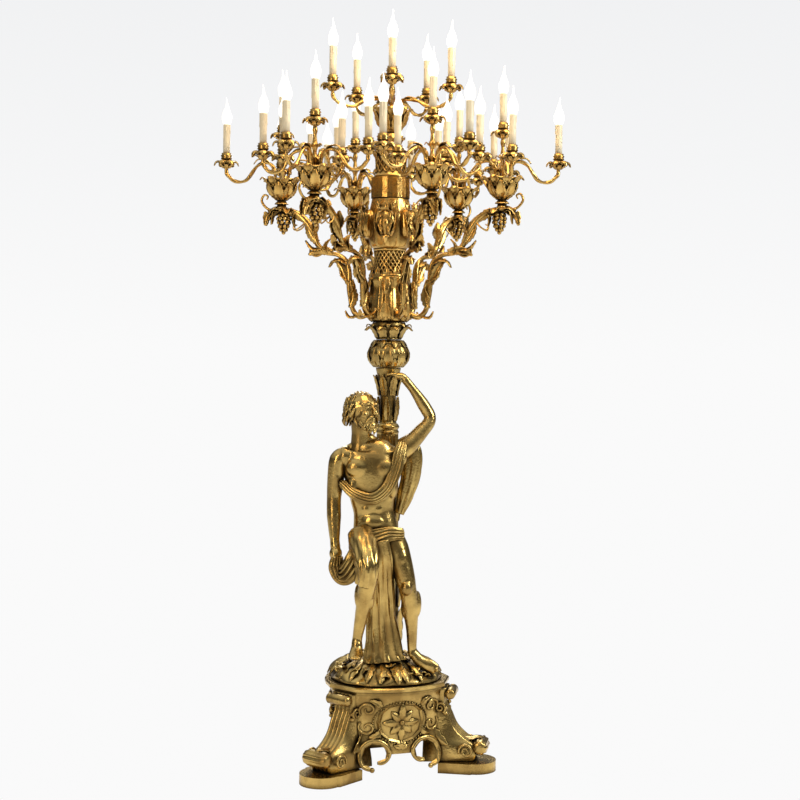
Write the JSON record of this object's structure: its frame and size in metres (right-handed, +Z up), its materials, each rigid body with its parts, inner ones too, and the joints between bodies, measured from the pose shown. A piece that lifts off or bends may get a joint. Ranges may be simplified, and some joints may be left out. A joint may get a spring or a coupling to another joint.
{
  "type": "floor lamp",
  "caption": "Tall gilt figural candelabrum floor lamp: draped figure on a scroll-legged plinth, urn stem, leafy arms with candle branches and an upper tier.",
  "frame": {"origin": "on the floor, on the axis of the column, at the centre of the overall box", "axes": "+Z up; -Y is towards the front side panel, and the figure faces 20 degrees from it towards -X"},
  "size_m": [1.1388, 1.2568, 2.64],
  "materials": {
    "gilt_brass": "polished gilt, dark in the recesses",
    "antique_brass": "aged gilt with brown patina",
    "steel": "zinc-plated, dull",
    "ivory_sleeve": "waxy matte",
    "bulb_glass": "frosted, lit"
  },
  "bodies": {
    "lamp": {"foot_pad_1": "antique_brass", "leg_console_1": "antique_brass", "side_panel_1": "antique_brass", "foot_pad_2": "antique_brass", "leg_console_2": "antique_brass", "side_panel_2": "antique_brass", "foot_pad_3": "antique_brass", "leg_console_3": "antique_brass", "side_panel_3": "antique_brass", "plinth_cap": "antique_brass", "base_brace": "steel", "tie_rod_nut": "steel", "tie_rod": "steel", "cable_gland": "steel", "torso": "antique_brass", "head": "antique_brass", "right_arm": "antique_brass", "left_arm": "antique_brass", "right_leg": "antique_brass", "left_leg": "antique_brass", "chest_sash": "antique_brass", "back_drapery": "antique_brass", "hip_drapery": "antique_brass", "ground_mound": "antique_brass", "lower_column": "antique_brass", "column_knop": "antique_brass", "leaf_collar": "antique_brass", "urn_body": "gilt_brass", "urn_neck": "gilt_brass", "boss_collar": "gilt_brass", "stem_sleeve": "gilt_brass", "capital": "gilt_brass", "main_arm_1": "gilt_brass", "branch_set_1": "gilt_brass", "candle_sleeve_1": "ivory_sleeve", "main_arm_2": "gilt_brass", "branch_set_2": "gilt_brass", "candle_sleeve_2": "ivory_sleeve", "main_arm_3": "gilt_brass", "branch_set_3": "gilt_brass", "candle_sleeve_3": "ivory_sleeve", "main_arm_4": "gilt_brass", "branch_set_4": "gilt_brass", "candle_sleeve_4": "ivory_sleeve", "main_arm_5": "gilt_brass", "branch_set_5": "gilt_brass", "candle_sleeve_5": "ivory_sleeve", "main_arm_6": "gilt_brass", "branch_set_6": "gilt_brass", "candle_sleeve_6": "ivory_sleeve", "upper_tier": "gilt_brass", "candle_sleeve_7": "ivory_sleeve"},
    "bulb_1": {"flame_bulb_1": "bulb_glass"},
    "bulb_2": {"flame_bulb_2": "bulb_glass"},
    "bulb_3": {"flame_bulb_3": "bulb_glass"},
    "bulb_4": {"flame_bulb_4": "bulb_glass"},
    "bulb_5": {"flame_bulb_5": "bulb_glass"},
    "bulb_6": {"flame_bulb_6": "bulb_glass"},
    "bulb_7": {"flame_bulb_7": "bulb_glass"}
  },
  "joints": [
    {"name": "bulb_1_screw", "type": "hinge", "parent": "lamp", "child": "bulb_1", "pos_m": [0.33775, 0.195, 2.37], "axis": [0, 0, 1], "continuous": true},
    {"name": "bulb_2_screw", "type": "hinge", "parent": "lamp", "child": "bulb_2", "pos_m": [0, 0.39, 2.37], "axis": [0, 0, 1], "continuous": true},
    {"name": "bulb_3_screw", "type": "hinge", "parent": "lamp", "child": "bulb_3", "pos_m": [-0.33775, 0.195, 2.37], "axis": [0, 0, 1], "continuous": true},
    {"name": "bulb_4_screw", "type": "hinge", "parent": "lamp", "child": "bulb_4", "pos_m": [-0.33775, -0.195, 2.37], "axis": [0, 0, 1], "continuous": true},
    {"name": "bulb_5_screw", "type": "hinge", "parent": "lamp", "child": "bulb_5", "pos_m": [0, -0.39, 2.37], "axis": [0, 0, 1], "continuous": true},
    {"name": "bulb_6_screw", "type": "hinge", "parent": "lamp", "child": "bulb_6", "pos_m": [0.33775, -0.195, 2.37], "axis": [0, 0, 1], "continuous": true},
    {"name": "bulb_7_screw", "type": "hinge", "parent": "lamp", "child": "bulb_7", "pos_m": [0, 0, 2.57], "axis": [0, 0, 1], "continuous": true}
  ]
}
